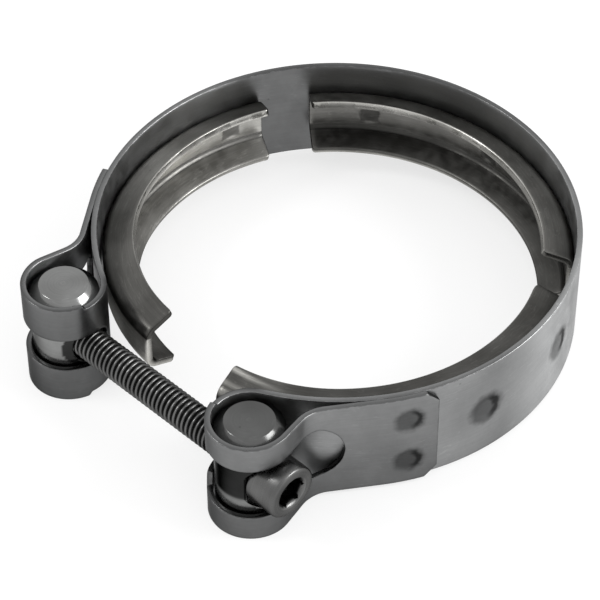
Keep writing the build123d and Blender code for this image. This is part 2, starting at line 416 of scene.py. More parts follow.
class Effects:
    """The shader node groups that the finishes share, each built once."""

    def __init__(self) -> None:
        """Builds all groups."""
        self.grain = self._grain()
        self.cloud = self._cloud()
        self.scratches = self._scratches()
        self.edge_wear_and_light = self._edge_wear()
        self.weld_mark = self._weld_mark()
        self.specks = self._specks()

    @staticmethod
    def _group(
        name: str, inputs: dict[str, float | None], *outputs: str
    ) -> tuple[Graph, bpy.types.bpy_prop_collection]:
        """Starts a node group.

        Args:
            name: The group's name.
            inputs: Default value by input name, or None for a vector.
            outputs: Names of the outputs, which are all plain numbers.

        Returns:
            The group's graph and the sockets of its inputs.
        """
        tree = bpy.data.node_groups.new(name, "ShaderNodeTree")
        for label, default in inputs.items():
            kind = "NodeSocketVector" if default is None else "NodeSocketFloat"
            socket = tree.interface.new_socket(label, in_out="INPUT", socket_type=kind)
            if default is not None:
                socket.default_value = default
        for label in outputs:
            tree.interface.new_socket(label, in_out="OUTPUT", socket_type="NodeSocketFloat")
        graph = Graph(tree)
        return graph, graph.add("NodeGroupInput").outputs

    def _grain(self) -> bpy.types.NodeTree:
        """Fine lines drawn out along the sheet, as rolling or turning leaves them."""
        lengths = {"Coordinates": None, "Length": 6.0, "Width": 0.12}
        g, given = self._group("drawn_grain", lengths, "Shade", "Height")
        along, across = (g.sum("DIVIDE", 1.0, given[label]) for label in ("Length", "Width"))
        factors = g.add("ShaderNodeCombineXYZ", {"X": along, "Y": across, "Z": across}).outputs[0]
        stretched = g.scaled(given["Coordinates"], factors)
        fine, broad = g.noise(stretched, 1.0, 3.0, 0.6), g.noise(stretched, 0.27, 2.0)
        shade = g.sum("ADD", g.sum("MULTIPLY", fine, 0.6), g.sum("MULTIPLY", broad, 0.4))
        return g.close(Shade=g.ramp(shade, 0.3, 0.7), Height=fine)

    def _cloud(self) -> bpy.types.NodeTree:
        """Soft uneven patches, such as handling marks and cloudy reflections."""
        g, given = self._group("cloud", {"Coordinates": None, "Size": 8.0, "Spread": 0.18}, "Mask")
        value = g.noise(given["Coordinates"], g.sum("DIVIDE", 1.0, given["Size"]), 3.0, 0.55)
        low, high = (g.sum(way, 0.5, given["Spread"]) for way in ("SUBTRACT", "ADD"))
        return g.close(Mask=g.ramp(value, low, high))

    def _scratches(self) -> bpy.types.NodeTree:
        """Sparse hairlines that run mostly along the sheet."""
        g, given = self._group("hairlines", {"Coordinates": None, "Amount": 0.4}, "Mask")
        inputs = {"Vector": given["Coordinates"], "Axis": (0, 0, 1), "Angle": 0.16}
        turned = g.add("ShaderNodeVectorRotate", inputs, rotation_type="AXIS_ANGLE").outputs[0]
        line = g.noise(g.scaled(turned, (0.11, 1.3, 0.4)), 1.0, 2.0)
        thin = g.ramp(g.sum("ABSOLUTE", g.sum("SUBTRACT", line, 0.5)), 0.004, 0.013, 1.0, 0.0)
        limit = g.sum("MULTIPLY", g.sum("SUBTRACT", 1.0, given["Amount"]), 0.85)
        worn = g.sum("GREATER_THAN", g.noise(given["Coordinates"], 0.13, 2.0), limit)
        return g.close(Mask=g.sum("MULTIPLY", thin, worn))

    def _edge_wear(self) -> bpy.types.NodeTree:
        """The uneven strip along a sheet's cut edges, which is cut, not rolled; the finishes use it for the
        edges' gloss and for painted shade and highlights on them.
        """
        g, given = self._group("edge_wear_and_light", {"Edge": FAR_MM, "Coordinates": None, "Reach": 0.4}, "Mask")
        uneven = g.ramp(g.noise(given["Coordinates"], 0.9, 3.0), 0.3, 0.75, 0.25, 1.3)
        share = g.sum("DIVIDE", given["Edge"], g.sum("MULTIPLY", given["Reach"], uneven))
        return g.close(Mask=g.ramp(share, 0.0, 1.0, 1.0, 0.0))

    def _weld_mark(self) -> bpy.types.NodeTree:
        """A spot weld's print: a soft halo, a crescent of painted shade on one side of its dent, and a
        squarish burnt patch.
        """
        inputs = {"Offset": None, "Coordinates": None, "Radius": 2.5}
        g, given = self._group("weld_mark", inputs, "Halo", "Crescent", "Patch")
        push = g.ramp(g.noise(given["Coordinates"], 0.7, 3.0), 0.25, 0.75, -0.22, 0.22)
        way = g.add("ShaderNodeSeparateXYZ", {0: given["Offset"]}).outputs
        distance = g.add("ShaderNodeVectorMath", {0: given["Offset"]}, operation="LENGTH").outputs["Value"]
        share = g.sum("DIVIDE", g.sum("ADD", distance, push), given["Radius"])
        towards = g.sum("DIVIDE", way["X"], g.sum("MAXIMUM", distance, 0.1))
        band = g.sum("MULTIPLY", g.ramp(share, 0.35, 0.62), g.ramp(share, 0.72, 1.0, 1.0, 0.0))
        sides = [g.sum("ABSOLUTE", way[axis]) for axis in "XYZ"]
        square = g.sum("MAXIMUM", g.sum("MAXIMUM", sides[0], sides[1]), sides[2])
        box = g.sum("DIVIDE", g.sum("ADD", square, push), given["Radius"])
        return g.close(
            Halo=g.ramp(share, 0.75, 1.35, 1.0, 0.0),
            Crescent=g.sum("MULTIPLY", band, g.ramp(towards, -0.15, 0.75)),
            Patch=g.ramp(box, 0.72, 0.98, 1.0, 0.0),
        )

    def _specks(self) -> bpy.types.NodeTree:
        """A few tiny dark pits."""
        g, given = self._group("specks", {"Coordinates": None, "Spacing": 5.0}, "Mask")
        scale = g.sum("DIVIDE", 1.0, given["Spacing"])
        cells = g.add("ShaderNodeTexVoronoi", {"Vector": given["Coordinates"], "Scale": scale}).outputs
        size = g.add("ShaderNodeSeparateColor", {0: cells["Color"]}).outputs[0]
        limit = g.sum("MULTIPLY", g.ramp(size, 0.55, 1.0), 0.06)
        return g.close(Mask=g.sum("LESS_THAN", cells["Distance"], limit))


@dataclass(frozen=True)
class SteelFinish:
    """Stainless steel as one kind of piece shows it.

    Colours are linear and sizes are in millimetres. A light or shade is a factor on the colour, a dark
    is how much of it is taken away, and a share is how strongly the effect shows.
    """

    name: str
    dark: tuple[float, float, float]
    light: tuple[float, float, float]
    roughness: float
    roughness_spread: float
    grain_length: float
    grain_width: float
    grain_shade: float
    grain_depth: float
    cloud_size: float
    scratches: float
    edge_reach: float
    # Painted light along the cut edges: painted shade below 1, a painted highlight above 1.
    edge_painted_light: float
    hair_light: float = 1.5
    halo_dark: float = 0.0
    # Painted shade on one side of each weld dent.
    dent_painted_shade: float = 0.0
    patch_dark: float = 0.0
    weld_radius: float = 2.5
    grazing: float = 0.35
    smear_shade: float = 0.62
    smear_share: float = 0.30
    hair_share: float = 0.30
    pit_spacing: float = 4.5
    pit_share: float = 0.7
    wear_gloss: float = 0.08
    halo_dull: float = 0.15
    bump_strength: float = 0.6

    def material(self, effects: Effects) -> bpy.types.Material:
        """Builds the material.

        Args:
            effects: The shared node groups.

        Returns:
            The material.
        """
        made = bpy.data.materials.new(self.name)
        made.use_nodes = True
        g = Graph(made.node_tree)
        layers = {"sheet_mm": "Vector", "edge_mm": "Fac", "weld_mm": "Vector", "tone": "Fac"}
        sheet, edge, weld, shade = (
            g.add("ShaderNodeAttribute", attribute_name=label).outputs[kind] for label, kind in layers.items()
        )
        place = g.scaled(g.add("ShaderNodeTexCoord").outputs["Object"], (1 / MM,) * 3)
        grain = g.group(effects.grain, Coordinates=sheet, Length=self.grain_length, Width=self.grain_width)
        patches = g.group(effects.cloud, Coordinates=place, Size=self.cloud_size, Spread=0.2)[0]
        smears = g.group(effects.cloud, Coordinates=place, Size=self.cloud_size / 4, Spread=0.3)[0]
        hairs = g.group(effects.scratches, Coordinates=sheet, Amount=self.scratches)[0]
        wear = g.group(effects.edge_wear_and_light, Edge=edge, Coordinates=place, Reach=self.edge_reach)[0]
        marks = g.group(effects.weld_mark, Offset=weld, Coordinates=place, Radius=self.weld_radius)
        pits = g.group(effects.specks, Coordinates=place, Spacing=self.pit_spacing)[0]

        tone = g.blend(patches, (*self.dark, 1), (*self.light, 1))
        lines = g.ramp(grain["Shade"], 0.0, 1.0, 1 - self.grain_shade, 1 + self.grain_shade)
        # The tone attribute is painted light and shade, laid on the colour here.
        lines = g.sum("MULTIPLY", lines, shade)
        tone = g.scaled(tone, g.add("ShaderNodeCombineXYZ", {0: lines, 1: lines, 2: lines}).outputs[0])
        soiled = g.shaded(tone, self.smear_shade)
        tone = g.blend(g.sum("MULTIPLY", smears, self.smear_share), tone, soiled)
        tone = g.blend(g.sum("MULTIPLY", hairs, self.hair_share), tone, g.shaded(tone, self.hair_light))
        # Painted light along the cut edges, by the edge factor: shade on the strap, highlights on the other
        # pieces.
        tone = g.blend(wear, tone, g.shaded(tone, self.edge_painted_light))
        # Heat tint and burnt patches of the welds, and the painted shade on one side of each weld dent.
        burns_and_dent_shade = {"Halo": self.halo_dark, "Crescent": self.dent_painted_shade, "Patch": self.patch_dark}
        for label, amount in burns_and_dent_shade.items():
            if amount:
                tone = g.blend(marks[label], tone, g.shaded(tone, 1 - amount))
        tone = g.blend(g.sum("MULTIPLY", pits, self.pit_share), tone, soiled)

        rough = g.sum("ADD", g.ramp(smears, 0.0, 1.0, 0.0, self.roughness_spread), self.roughness)
        rough = g.sum("SUBTRACT", rough, g.sum("MULTIPLY", wear, self.wear_gloss))
        rough = g.sum("ADD", rough, g.sum("MULTIPLY", marks["Halo"], self.halo_dull * self.halo_dark))

        relief = g.sum("MULTIPLY", grain["Height"], self.grain_depth)
        for mask, depth in ((hairs, 0.5), (pits, 2.0)):
            relief = g.sum("SUBTRACT", relief, g.sum("MULTIPLY", mask, depth * self.grain_depth))
        bump = {"Height": relief, "Strength": self.bump_strength, "Distance": MM}
        inputs = {
            "Base Color": tone,
            "Metallic": 1.0,
            "Roughness": rough,
            "Specular Tint": (self.grazing, self.grazing, self.grazing, 1),
            "Normal": g.add("ShaderNodeBump", bump).outputs[0],
        }
        shader = g.add("ShaderNodeBsdfPrincipled", inputs)
        g.add("ShaderNodeOutputMaterial", {"Surface": shader.outputs[0]})
        return made


STRAP_STEEL = SteelFinish(
    name="strap_satin",
    dark=(0.272, 0.275, 0.276),
    light=(0.330, 0.333, 0.334),
    roughness=0.30,
    roughness_spread=0.12,
    grain_length=9.0,
    grain_width=0.14,
    grain_shade=0.035,
    grain_depth=0.004,
    cloud_size=11.0,
    scratches=0.40,
    edge_reach=0.28,
    # Painted shade along the strap's cut edges.
    edge_painted_light=0.52,
    halo_dark=0.54,
    dent_painted_shade=0.66,
)
RETAINER_STEEL = SteelFinish(
    name="retainer_pressed",
    dark=(0.173, 0.170, 0.160),
    light=(0.254, 0.250, 0.237),
    roughness=0.28,
    roughness_spread=0.14,
    grain_length=14.0,
    grain_width=0.22,
    grain_shade=0.08,
    grain_depth=0.006,
    cloud_size=8.0,
    scratches=0.60,
    hair_light=1.9,
    edge_reach=0.25,
    edge_painted_light=1.15,
    patch_dark=0.62,
    weld_radius=2.2,
)
TRUNNION_STEEL = SteelFinish(
    name="trunnion_turned",
    dark=(0.150, 0.151, 0.149),
    light=(0.200, 0.202, 0.200),
    roughness=0.16,
    roughness_spread=0.07,
    grain_length=20.0,
    grain_width=0.09,
    grain_shade=0.05,
    grain_depth=0.005,
    cloud_size=6.0,
    scratches=0.35,
    edge_reach=0.30,
    edge_painted_light=1.1,
)
SCREW_STEEL = SteelFinish(
    name="screw_dull",
    dark=(0.120, 0.120, 0.119),
    light=(0.170, 0.170, 0.168),
    roughness=0.24,
    roughness_spread=0.10,
    grain_length=10.0,
    grain_width=0.10,
    grain_shade=0.06,
    grain_depth=0.006,
    cloud_size=5.0,
    scratches=0.30,
    edge_reach=0.25,
    edge_painted_light=1.2,
)


@dataclass(frozen=True)
class Stretch:
    """A stretch of a centre line with one bend: its length, and its curvature, positive to the left."""

    length: float
    curvature: float = 0.0


@dataclass(frozen=True)
class CentreLine:
    """A line of straight and bent stretches, from a start point and a heading in radians."""

    start: tuple[float, float]
    heading: float
    stretches: tuple[Stretch, ...]

    def marks(self) -> list[float]:
        """Distances along the line at which its stretches begin and end."""
        return [0.0, *np.cumsum([part.length for part in self.stretches]).tolist()]

    def at(self, distance: float) -> tuple[np.ndarray, np.ndarray]:
        """Finds a place on the line.

        Args:
            distance: How far along the line it is.

        Returns:
            The point, and the unit normal to the left of the line there.
        """
        point, heading = np.array(self.start, float), self.heading
        for part in self.stretches:
            run = min(distance, part.length)
            turn = run * part.curvature
            chord = run if abs(turn) < 1e-9 else 2 * math.sin(turn / 2) / part.curvature
            mid = heading + turn / 2
            point = point + chord * np.array([math.cos(mid), math.sin(mid)])
            heading += turn
            distance -= run
            if distance <= 0:
                break
        return point, np.array([-math.sin(heading), math.cos(heading)])


@dataclass(frozen=True)
class Weld:
    """A spot weld's place on the strap's pattern, and the side of the sheet that it marks."""

    along: float
    across: float
    face: int


@dataclass(frozen=True)
class ScrewSlot:
    """A slot round one wrap: half its width at the shank and past the widening."""

    narrow: float = 3.5
    wide: float = 3.5


@dataclass
class Strap:
    """The strap: one sheet rolled to a ring, wrapped round both trunnions and folded back on itself."""

    ring_radius: float = 42.0
    ring_half_width: float = 10.1
    loop_half_width: float = 10.8
    thickness: float = 1.0
    leave_angle: float = 29.0
    inner_run: float = 1.5
    wrap_radius: float = 6.8
    flank_run: float = 4.4
    bend_radius: float = 6.5
    leaf_radius: float = 42.95
    seat_angle: float = 54.0
    leaf_end_angle: float = 66.8
    corner_cut: float = 2.2
    step_drop: float = 1.6
    widen_angle: float = 220.0
    slot_reach: float = 3.0
    weld_radius: float = 2.5
    weld_depth: float = 0.12
    weld_blend: float = 0.7
    mark_reach: float = 1.7
    ridge_share: float = 0.25
    ridge_away: float = 0.25
    ridge_width: float = 0.3
    ring_print: float = 1.25
    leaf_weld_angle: float = 60.1
    leaf_weld_height: float = 4.8
    side_welds: tuple[float, ...] = (80.0, 107.0)
    back_welds: tuple[float, ...] = (145.0, 180.0)
    edge_round: float = 0.16
    side_columns: int = 16
    middle_columns: int = 14
    ring_step: float = 1.5
    row_step: float = 0.42
    weld_rows: float = 3.6
    row_clear: float = 0.05
    slot_least: float = 0.35
    slot_fan: float = 4.0
    step_back: float = 0.45
    step_ahead: float = 0.35
    widen_reach: float = 0.5
    # Painted light and shade, as factors on the colour: a level for the ring's outside, painted light over
    # its right front, painted shade inside towards the back, painted light inside on the left, levels for the
    # wraps and the leaf, and painted light rising towards the top.
    outside_tone: float = 0.98
    right_painted_light: float = 1.30
    shade_tone: float = 1.60
    inside_painted_shade: float = -1.02
    left_painted_light: float = 0.90
    leaf_tone: float = 0.66
    wrap_tones: dict[Side, float] = field(default_factory=lambda: {Side.LEFT: 0.46, Side.RIGHT: 0.60})
    rise_painted_light: float = 0.026
    lit_rise: tuple[float, float] = (-6.0, 12.0)
    lit_fall: tuple[float, float] = (41.0, 16.0)
    inside_fade: tuple[float, float] = (22.0, -8.0)
    left_rise: tuple[float, float] = (244.0, 262.0)
    wrap_fade: float = 3.0
    slots: dict[Side, ScrewSlot] = field(
        default_factory=lambda: {Side.LEFT: ScrewSlot(), Side.RIGHT: ScrewSlot(wide=5.6)}
    )

    def __post_init__(self) -> None:
        """Works out the trunnion's place, the centre line and the places along it."""
        out, along = ring_direction(self.leave_angle), ring_tangent(self.leave_angle)
        self.trunnion = out * (self.ring_radius + self.wrap_radius) - along * self.inner_run
        leaf_out, leaf_along = ring_direction(self.seat_angle), ring_tangent(self.seat_angle)
        lift = self.leaf_radius + self.bend_radius - self.trunnion @ leaf_out
        rolled = self.wrap_radius + self.bend_radius
        bend_along = self.trunnion @ leaf_along + math.sqrt(rolled**2 + self.flank_run**2 - lift**2)
        bend = leaf_out * (self.leaf_radius + self.bend_radius) + leaf_along * bend_along
        to_bend = bend - self.trunnion
        wrap_end = math.atan2(to_bend[1], to_bend[0]) - math.atan2(self.flank_run, rolled)
        wrap_start = math.radians(90 + self.leave_angle)
        bent = wrap_end + math.radians(90 - self.seat_angle)
        laid = math.radians(self.leaf_end_angle - self.seat_angle)
        self.leaf_start = bend - leaf_out * self.bend_radius
        self.line = CentreLine(
            start=(0.0, self.ring_radius),
            heading=0.0,
            stretches=(
                Stretch(self.ring_radius * math.radians(180 - self.leave_angle), -1 / self.ring_radius),
                Stretch(self.inner_run),
                Stretch(self.wrap_radius * (wrap_end + 2 * math.pi - wrap_start), 1 / self.wrap_radius),
                Stretch(self.flank_run),
                Stretch(self.bend_radius * bent, -1 / self.bend_radius),
                Stretch(-bend_along),
                Stretch(self.leaf_radius * laid, 1 / self.leaf_radius),
            ),
        )
        marks = self.line.marks()
        self.ring_end, self.run_end, self.wrap_end, _, self.bend_end, self.seat_at, self.end_at = marks[1:]
        self.slot_end = self.bend_end + self.slot_reach
        self.hole_centre = self.run_end + self.wrap_radius * (math.pi - wrap_start)
        narrow = self.slots[Side.LEFT].narrow
        self.hole_start = self.hole_centre - self.wrap_radius * math.asin(narrow / self.wrap_radius)
        self.step_at = self.hole_centre + self.wrap_radius * math.asin(self.step_drop / self.wrap_radius)
        self.widen_at = self.run_end + self.wrap_radius * (math.radians(self.widen_angle) - wrap_start)

    def welds(self) -> list[Weld]:
        """Spot welds on one half of the strap: those of the ring outside, and the leaf's own two."""
        angles = self.back_welds + self.side_welds
        ring = [Weld(self.ring_radius * math.radians(180 - angle), 0.0, 1) for angle in angles]
        leaf_at = self.seat_at + self.leaf_radius * math.radians(self.leaf_weld_angle - self.seat_angle)
        return ring + [Weld(leaf_at, side * self.leaf_weld_height, -1) for side in (-1, 1)]

    def half_width(self, s: float) -> float:
        """Half the sheet's width at a distance along the pattern from the back of the ring."""
        narrow, flare = self.ring_half_width, self.loop_half_width - self.ring_half_width
        if s < self.wrap_end - self.wrap_radius:
            return narrow + flare * smooth(s, self.step_at - self.step_back, self.step_at + self.step_ahead)
        point, _ = self.line.at(s)
        rise = (point[1] - self.trunnion[1]) / (self.leaf_start[1] - self.trunnion[1])
        tapered = narrow + flare * (1 - min(max(rise, 0.0), 1.0))
        return min(tapered, narrow + self.end_at - s - self.corner_cut) if s > self.bend_end else tapered

    def slot_half(self, s: float, slot: ScrewSlot) -> tuple[float, bool]:
        """Half the slot's width at a place on the pattern.

        Args:
            s: Distance along the pattern.
            slot: The slot of this end.

        Returns:
            The half width that the mesh columns follow, and whether the sheet is open there.
        """
        turn_at = self.slot_end - slot.wide
        if self.hole_start <= s < self.hole_centre:
            rise = self.wrap_radius * math.sin((self.hole_centre - s) / self.wrap_radius)
            return max(self.slot_least, math.sqrt(max(slot.narrow**2 - rise**2, 0.0))), True
        if self.hole_centre <= s < turn_at:
            widened = smooth(s, self.widen_at - self.widen_reach, self.widen_at + self.widen_reach)
            return slot.narrow + (slot.wide - slot.narrow) * widened, True
        if turn_at <= s <= self.slot_end:
            return max(self.slot_least, math.sqrt(max(slot.wide**2 - (s - turn_at) ** 2, 0.0))), True
        away = self.hole_start - s if s < self.hole_start else s - self.slot_end
        return self.slot_least + (slot.narrow - self.slot_least) * smooth(away, 0.0, self.slot_fan), False

    def stations(self, slot: ScrewSlot) -> list[float]:
        """Distances along one half of the pattern at which the mesh has a row."""
        end, cut_at, fine = self.slot_end, self.end_at - self.corner_cut, self.row_step
        turns = [math.radians(a) for a in np.linspace(4, 86, 11)]
        lows = [slot.narrow * math.cos(turn) for turn in turns]
        kept = [self.hole_centre - self.wrap_radius * math.asin(low / self.wrap_radius) for low in lows]
        kept += [end - slot.wide + slot.wide * math.sin(turn) for turn in turns]
        for step in rim_steps(self.edge_round):
            kept += [self.hole_start - step, end + step, self.end_at - step]
        kept += [0.0, cut_at]
        welds = [weld.along for weld in self.welds()]
        rows = graded(0.0, self.ring_end, self.ring_step, fine, welds, self.weld_rows)
        for first, last, step in (
            (self.ring_end, self.hole_start - self.slot_fan, 0.5),
            (self.hole_start - self.slot_fan, self.hole_start, 0.4),
            (self.hole_centre, end, fine),
            (end, cut_at, fine),
            (self.step_at - 0.5, self.step_at + 0.4, 0.1),
            (self.widen_at - self.widen_reach, self.widen_at + self.widen_reach, 0.15),
            (cut_at, self.end_at, 0.28),
        ):
            rows += spaced(first, last, step)
        for s in rows:
            if min(abs(s - other) for other in kept) > self.row_clear:
                kept.append(s)
        return sorted(kept)

    def dent(self, s: float, z: float, face: int) -> tuple[float, tuple[float, float, float]]:
        """Depth of the weld prints at a place, and the way to it from the nearest weld.

        Args:
            s: Distance along the pattern.
            z: Height across it.
            face: Which side of the sheet, +1 or -1.

        Returns:
            How far the surface is pushed in, and the way from the nearest weld.
        """
        push, nearest, least = 0.0, (0.0, 0.0, FAR_MM), self.mark_reach * self.weld_radius
        for weld in self.welds():
            gap = math.hypot(s - weld.along, z - weld.across)
            if gap > 3 * self.weld_radius or face != weld.face:
                continue
            push += self.weld_depth * (1 - smooth(gap, self.weld_radius - self.weld_blend, self.weld_radius))
            ridge = (gap - self.weld_radius - self.ridge_away) / self.ridge_width
            push -= self.ridge_share * self.weld_depth * math.exp(-(ridge**2))
            if gap < least:
                spread = self.ring_print if face > 0 else 1.0
                nearest, least = (-face * (s - weld.along) / spread, (z - weld.across) / spread, 0.0), gap
        return push, nearest

    def rim_gap(self, s: float, z: float, slot: ScrewSlot) -> float:
        """Distance of a place on the pattern from the nearest cut edge.

        Args:
            s: Distance along the pattern.
            z: Height across it.
            slot: The slot of this end.

        Returns:
            The distance, 0 on the edge.
        """
        half, (inner, _) = self.half_width(s), self.slot_half(s, slot)
        turn_at = self.slot_end - slot.wide
        gap = min(half - abs(z), self.end_at - s)
        if s > self.end_at - 2 * self.corner_cut:
            gap = min(gap, (self.ring_half_width - self.corner_cut - abs(z) + self.end_at - s) / math.sqrt(2))
        if s > turn_at:
            to_slot = math.hypot(s - turn_at, z) - slot.wide
        elif s < self.hole_centre:
            turn = min((self.hole_centre - s) / self.wrap_radius, math.pi / 2)
            to_slot = math.hypot(self.wrap_radius * math.sin(turn), z) - slot.narrow
        else:
            to_slot = abs(z) - inner
        return max(min(gap, max(to_slot, 0.0)), 0.0)

    def tone(self, s: float, face: int, side: Side) -> float:
        """Painted light and shade at a place: how bright the steel is made there, against the front of the
        ring's outside.

        Args:
            s: Distance along the pattern.
            face: Which side of the sheet, +1 or -1.
            side: Which half of the strap.

        Returns:
            The factor on the finish's colour.
        """
        place, _ = self.line.at(s)
        # Outside face: painted light over the right of the ring's front.
        if face > 0:
            lit = smooth(place[1], *self.lit_rise) * smooth(place[1], *self.lit_fall) * (side is Side.RIGHT)
            return self.outside_tone + self.right_painted_light * lit
        # Inside face: painted shade towards the back of the ring, painted light on its left, then one painted
        # level for each wrap and one for the leaf.
        angle = side.value * (180 - math.degrees(s / self.ring_radius))
        inside = self.shade_tone + self.inside_painted_shade * smooth(side.value * place[0], *self.inside_fade)
        inside += self.left_painted_light * smooth(angle % 360, *self.left_rise)
        wrapped = smooth(s, self.ring_end, self.ring_end + self.wrap_fade)
        tone = inside + (self.wrap_tones[side] - inside) * wrapped
        return tone + (self.leaf_tone - self.wrap_tones[side]) * smooth(s, self.wrap_end, self.bend_end)

    def half(self, side: Side) -> tuple[list[np.ndarray], np.ndarray]:
        """Grids of one half of the strap.

        Args:
            side: Which half.

        Returns:
            The sheet's grids, and which of their rows are open.
        """
        slot = self.slots[side]
        rows = self.stations(slot)
        grids = empty_grids(len(rows), 2 * self.side_columns + self.middle_columns + 1)
        points, sheet, edge, weld, tone = grids
        opened = []
        for i, s in enumerate(rows):
            centre, left = self.line.at(s)
            inner, is_open = self.slot_half(s, slot)
            opened.append(is_open)
            upper = rimmed(inner, self.half_width(s), self.side_columns, self.edge_round)
            middle = np.linspace(-inner, inner, self.middle_columns + 1)
            risen = smooth(s, self.ring_end, self.hole_centre)
            for j, z in enumerate(np.concatenate([-upper[::-1], middle[1:-1], upper])):
                gap = self.rim_gap(s, z, slot)
                for k, face in enumerate((1, -1)):
                    push, nearest = self.dent(s, z, face)
                    spot = centre + left * face * (self.thickness / 2 - push - rim_drop(gap, self.edge_round))
                    points[k, i, j] = (side.value * spot[0], spot[1], z)
                    sheet[k, i, j] = (side.value * s, z, face)
                    edge[k, i, j] = gap
                    weld[k, i, j] = (side.value * nearest[0], *nearest[1:])
                    # Painted light that grows towards the top of the wraps and the leaf.
                    tone[k, i, j] = self.tone(s, face, side) * (1 + self.rise_painted_light * z * risen)
        return grids, np.array(opened)

    def build(self, material: bpy.types.Material) -> bpy.types.Object:
        """Builds and dresses the strap.

        Args:
            material: The strap's finish.

        Returns:
            The object.
        """
        (left, left_open), (right, right_open) = self.half(Side.LEFT), self.half(Side.RIGHT)
        grids = [np.concatenate([a[:, ::-1], b[:, 1:]], axis=1) for a, b in zip(left, right)]
        opened = np.concatenate([left_open[::-1], right_open[1:]])
        slotted = range(self.side_columns, self.side_columns + self.middle_columns)

        def filled(i: int, j: int) -> bool:
            """True unless the cell is in a slot."""
            return not (j in slotted and opened[i] and opened[i + 1])

        piece = MeshData.of_grids(grids, filled).build("strap_sheet")
        even_normals(piece)
        settle(piece, "strap", Body.CLAMP, material)
        return piece


@dataclass
class Retainer:
    """A V-section segment: a flat land on the ring and two legs that lean out to the groove's mouth.

    Beside the gap its free end springs in from the strap.
    """

    node: str
    first_angle: float
    last_angle: float
    welds: tuple[float, ...]
    side: Side = Side.RIGHT
    thickness: float = 1.3
    land_radius: float = 40.85
    land_half: float = 2.449
    bend_radius: float = 1.85
    leg: float = 4.162
    lean: float = 20.0
    corner: float = 0.7
    spring_angle: float = 46.0
    spring_shift: float = 6.0
    weld_radius: float = 2.2
    weld_depth: float = 0.10
    weld_blend: float = 0.6
    mark_reach: float = 2.0
    coarse_step: float = 1.4
    fine_step: float = 0.55
    weld_rows: float = 4.4
    leg_columns: int = 15
    bend_columns: int = 9
    land_columns: int = 8
    edge_round: float = 0.2
    # Painted light and shade, as factors on the colour: a painted sheen by the free end, painted shade in the
    # lower fold and on the legs, a painted highlight on the upper tip, and painted levels about the ring.
    free_end_sheen: float = 0.0
    fold_painted_shade: float = 0.4
    leg_painted_shade: float = 0.50
    outer_painted_light: float = 2.60
    tip_highlight: float = 1.9
    streaks: float = 0.0
    streak_step: float = 0.45
    streak_slant: float = 0.12
    streak_reach: float = 14.0
    streak_least: float = -0.5
    free_reach: float = 16.0
    leg_fade: float = 1.5
    seed: int = 7
    tone_angles: tuple[float, ...] = (20, 60, 116, 140, 180, 231, 244, 275, 320, 355)
    inner_light_and_shade: tuple[float, ...] = (0.75, 0.75, 0.75, 0.80, 1.20, 0.85, 2.50, 2.80, 1.30, 0.60)
    upper_light_and_shade: tuple[float, ...] = (0.28, 0.34, 0.42, 0.80, 1.10, 1.10, 0.78, 0.76, 0.64, 0.34)

    def __post_init__(self) -> None:
        """Draws how strong each of the streaks is."""
        self.waves = np.random.default_rng(self.seed).normal(size=32)

    def section(self) -> CentreLine:
        """Middle line of the section, as radius and height, from the lower tip to the upper."""
        slope = math.radians(self.lean)
        turn = math.pi / 2 - slope
        corner = (self.land_radius - self.bend_radius, -self.land_half)
        sine, cosine = math.sin(slope), math.cos(slope)
        joint = (corner[0] + self.bend_radius * sine, corner[1] - self.bend_radius * cosine)
        tip = (joint[0] - self.leg * cosine, joint[1] - self.leg * sine)
        leg, fold = Stretch(self.leg), Stretch(self.bend_radius * turn, 1 / self.bend_radius)
        return CentreLine(tip, slope, (leg, fold, Stretch(2 * self.land_half), fold, leg))

    def spot(self, angle: float, radius: float) -> np.ndarray:
        """Place in the ring's plane of a radius of the section at an angle along the segment."""
        if angle >= self.spring_angle:
            return ring_direction(angle) * radius
        pivot = ring_direction(self.spring_angle) * self.spring_shift
        return pivot + ring_direction(angle) * (radius - self.spring_shift)

    def streak(self, q: float, angle: float) -> float:
        """How much lighter the streaks beside the free end make a place, across the section and along it."""
        away = angle - self.first_angle
        place = (q / self.streak_step + self.streak_slant * away) % (len(self.waves) - 1)
        level = float(np.interp(place, np.arange(len(self.waves)), self.waves))
        return self.streaks * max(level, self.streak_least) * math.exp(-((away / self.streak_reach) ** 2))

    def tone(self, angle: float, height: float, inner: bool) -> float:
        """Painted light and shade at a place: how bright the steel is made there.

        Args:
            angle: Angle along the segment.
            height: Height above the ring's middle plane.
            inner: True on the side that faces the flanges.

        Returns:
            The factor on the finish's colour.
        """
        turn = (self.side.value * angle) % 360
        if height > self.land_half and not inner:
            free = self.free_end_sheen * math.exp(-(((angle - self.first_angle) / self.free_reach) ** 2))
            return float(np.interp(turn, self.tone_angles, self.upper_light_and_shade)) + free
        if not inner:
            return self.outer_painted_light
        leg = 1 - (1 - self.leg_painted_shade) * smooth(abs(height), self.land_half, self.land_half + self.leg_fade)
        return float(np.interp(turn, self.tone_angles, self.inner_light_and_shade)) * leg

    def stations(self) -> list[float]:
        """Distances along the section at which the mesh has a column."""
        _, leg_end, land_from, land_to, _, total = self.section().marks()
        half = rimmed(0.0, leg_end, self.leg_columns, self.edge_round)[:-3].tolist()
        half += np.linspace(leg_end, land_from, self.bend_columns)[:-1].tolist()
        half += np.linspace(land_from, land_to / 2 + land_from / 2, self.land_columns).tolist()
        return half + [total - q for q in reversed(half[:-1])]

    def angles(self) -> list[float]:
        """Angles along the segment at which the mesh has a row."""
        steps = (self.coarse_step, self.fine_step, list(self.welds), self.weld_rows)
        angles = graded(self.first_angle, self.last_angle, *steps)
        for step in rim_steps(self.edge_round)[1:]:
            turn = math.degrees(step / self.land_radius)
            angles += [self.first_angle + turn, self.last_angle - turn]
        return sorted(angles)

